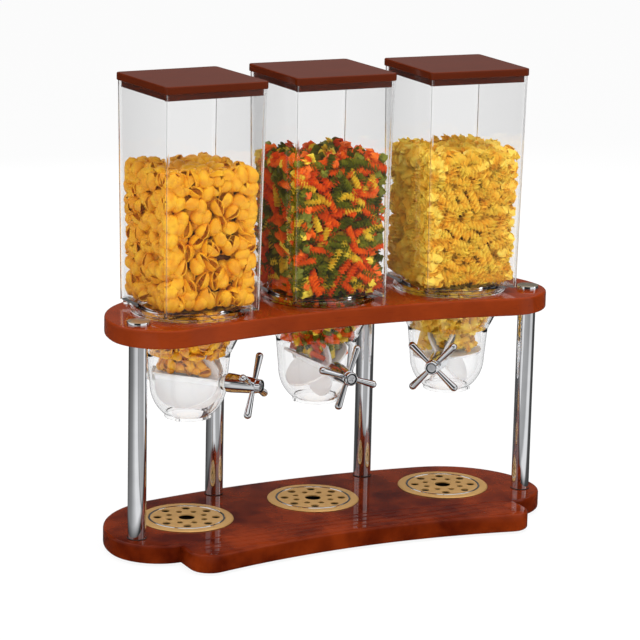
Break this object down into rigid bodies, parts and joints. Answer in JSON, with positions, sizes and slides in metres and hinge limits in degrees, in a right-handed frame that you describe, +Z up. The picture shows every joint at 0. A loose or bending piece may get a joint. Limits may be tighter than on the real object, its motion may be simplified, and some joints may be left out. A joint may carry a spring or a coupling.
{
  "type": "gravity bulk food dispenser",
  "caption": "Table-top gravity dry-food dispenser: clear square hoppers on a lacquered wooden stand, each emptied by a paddle wheel that a chromed cross handle turns.",
  "frame": {"origin": "middle of the footprint, on the surface that the feet stand on", "axes": "+X to the right as seen from the front, -Y to the front where the handles point, +Z up"},
  "size_m": [0.656, 0.28, 0.6381],
  "materials": {
    "mahogany_lacquer": "hardwood stained mahogany under clear gloss lacquer",
    "chrome_tube": "polished chrome plate on drawn steel tube",
    "chrome_turned": "turned and chromed, with a fine ring grain on top",
    "chrome_cast": "polished chrome plate on cast metal",
    "plain_steel": "plain bright steel",
    "brass_gold": "brass-coloured plate, fine circular brushing",
    "clear_plastic": "clear moulded plastic, polished",
    "brown_plastic": "dark brown moulded plastic, satin top",
    "white_silicone": "white food-grade silicone, matt",
    "white_nylon": "white moulded plastic",
    "black_rubber": "black rubber, matt"
  },
  "bodies": {
    "stand": {"base_board": "mahogany_lacquer", "shelf_board": "mahogany_lacquer", "front_left_post": "chrome_tube", "front_right_post": "chrome_tube", "back_left_post": "chrome_tube", "back_right_post": "chrome_tube", "post_plugs": "plain_steel", "post_washers": "black_rubber", "post_caps": "chrome_turned", "base_bolts": "plain_steel", "feet": "black_rubber", "bell_screws": "plain_steel", "left_drip_cup": "brass_gold", "middle_drip_cup": "brass_gold", "right_drip_cup": "brass_gold", "left_bell": "clear_plastic", "middle_bell": "clear_plastic", "right_bell": "clear_plastic", "left_front_bush": "white_nylon", "middle_front_bush": "white_nylon", "right_front_bush": "white_nylon", "left_rear_bush": "white_nylon", "middle_rear_bush": "white_nylon", "right_rear_bush": "white_nylon"},
    "left_rotor": {"left_paddle_wheel": "white_silicone", "left_shaft": "plain_steel", "left_handle": "chrome_cast", "left_handle_screw": "plain_steel"},
    "left_hopper": {"left_hopper": "clear_plastic"},
    "left_lid": {"left_lid": "brown_plastic"},
    "left_strainer": {"left_strainer": "brass_gold"},
    "middle_rotor": {"middle_paddle_wheel": "white_silicone", "middle_shaft": "plain_steel", "middle_handle": "chrome_cast", "middle_handle_screw": "plain_steel"},
    "middle_hopper": {"middle_hopper": "clear_plastic"},
    "middle_lid": {"middle_lid": "brown_plastic"},
    "middle_strainer": {"middle_strainer": "brass_gold"},
    "right_rotor": {"right_paddle_wheel": "white_silicone", "right_shaft": "plain_steel", "right_handle": "chrome_cast", "right_handle_screw": "plain_steel"},
    "right_hopper": {"right_hopper": "clear_plastic"},
    "right_lid": {"right_lid": "brown_plastic"},
    "right_strainer": {"right_strainer": "brass_gold"}
  },
  "joints": [
    {"name": "left_handle_turn", "type": "hinge", "parent": "stand", "child": "left_rotor", "pos_m": [-0.201, 0.024, 0.227], "axis": [0.6561, -0.7547, 0], "continuous": true},
    {"name": "left_hopper_lift", "type": "slide", "parent": "stand", "child": "left_hopper", "axis": [0, 0, 1], "range_m": [0, 0.06]},
    {"name": "left_lid_lift", "type": "slide", "parent": "left_hopper", "child": "left_lid", "axis": [0, 0, 1], "range_m": [0, 0.05]},
    {"name": "left_strainer_lift", "type": "slide", "parent": "stand", "child": "left_strainer", "axis": [0, 0, 1], "range_m": [0, 0.03]},
    {"name": "middle_handle_turn", "type": "hinge", "parent": "stand", "child": "middle_rotor", "pos_m": [0, 0.0385, 0.227], "axis": [0, -1, 0], "continuous": true},
    {"name": "middle_hopper_lift", "type": "slide", "parent": "stand", "child": "middle_hopper", "axis": [0, 0, 1], "range_m": [0, 0.06]},
    {"name": "middle_lid_lift", "type": "slide", "parent": "middle_hopper", "child": "middle_lid", "axis": [0, 0, 1], "range_m": [0, 0.05]},
    {"name": "middle_strainer_lift", "type": "slide", "parent": "stand", "child": "middle_strainer", "axis": [0, 0, 1], "range_m": [0, 0.03]},
    {"name": "right_handle_turn", "type": "hinge", "parent": "stand", "child": "right_rotor", "pos_m": [0.201, 0.024, 0.227], "axis": [-0.6561, -0.7547, 0], "continuous": true},
    {"name": "right_hopper_lift", "type": "slide", "parent": "stand", "child": "right_hopper", "axis": [0, 0, 1], "range_m": [0, 0.06]},
    {"name": "right_lid_lift", "type": "slide", "parent": "right_hopper", "child": "right_lid", "axis": [0, 0, 1], "range_m": [0, 0.05]},
    {"name": "right_strainer_lift", "type": "slide", "parent": "stand", "child": "right_strainer", "axis": [0, 0, 1], "range_m": [0, 0.03]}
  ]
}
